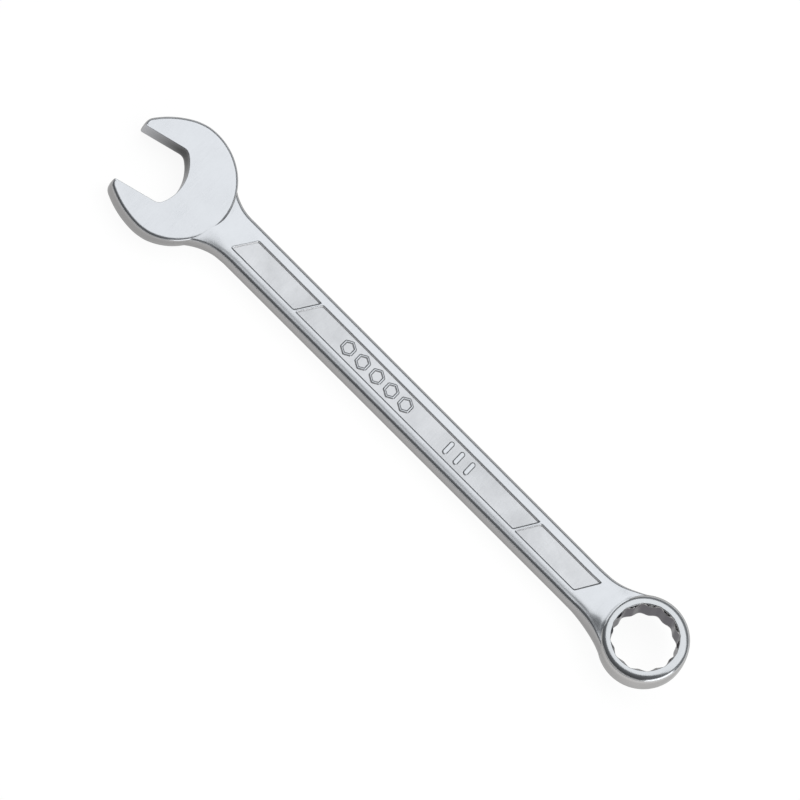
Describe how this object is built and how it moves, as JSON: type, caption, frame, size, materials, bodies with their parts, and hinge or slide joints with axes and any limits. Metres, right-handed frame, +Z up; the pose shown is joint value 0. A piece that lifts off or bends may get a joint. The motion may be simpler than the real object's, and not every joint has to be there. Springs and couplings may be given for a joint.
{
  "type": "combination wrench",
  "caption": "Combination wrench in chrome-plated forged steel: open jaws turned fifteen degrees in plan at one end, a lifted twelve-point ring at the other, and a shank with sunk panels.",
  "frame": {"origin": "on the table under the shank's centre line, halfway along the overall length; the head's flat and the low side of the ring rim touch z = 0", "axes": "+X along the shank towards the ring, +Z up out of the table, +Y to the side of the upper jaw"},
  "size_m": [0.21, 0.0347, 0.0158],
  "materials": {
    "chrome_plate": "satin chrome plate over forged alloy steel"
  },
  "bodies": {
    "root": {"upper_jaw": "chrome_plate", "lower_jaw": "chrome_plate", "head_back": "chrome_plate", "open_end_neck": "chrome_plate", "shank": "chrome_plate", "hexagon_marks": "chrome_plate", "bar_marks": "chrome_plate", "box_end_neck": "chrome_plate", "box_end_ring": "chrome_plate"}
  },
  "joints": []
}
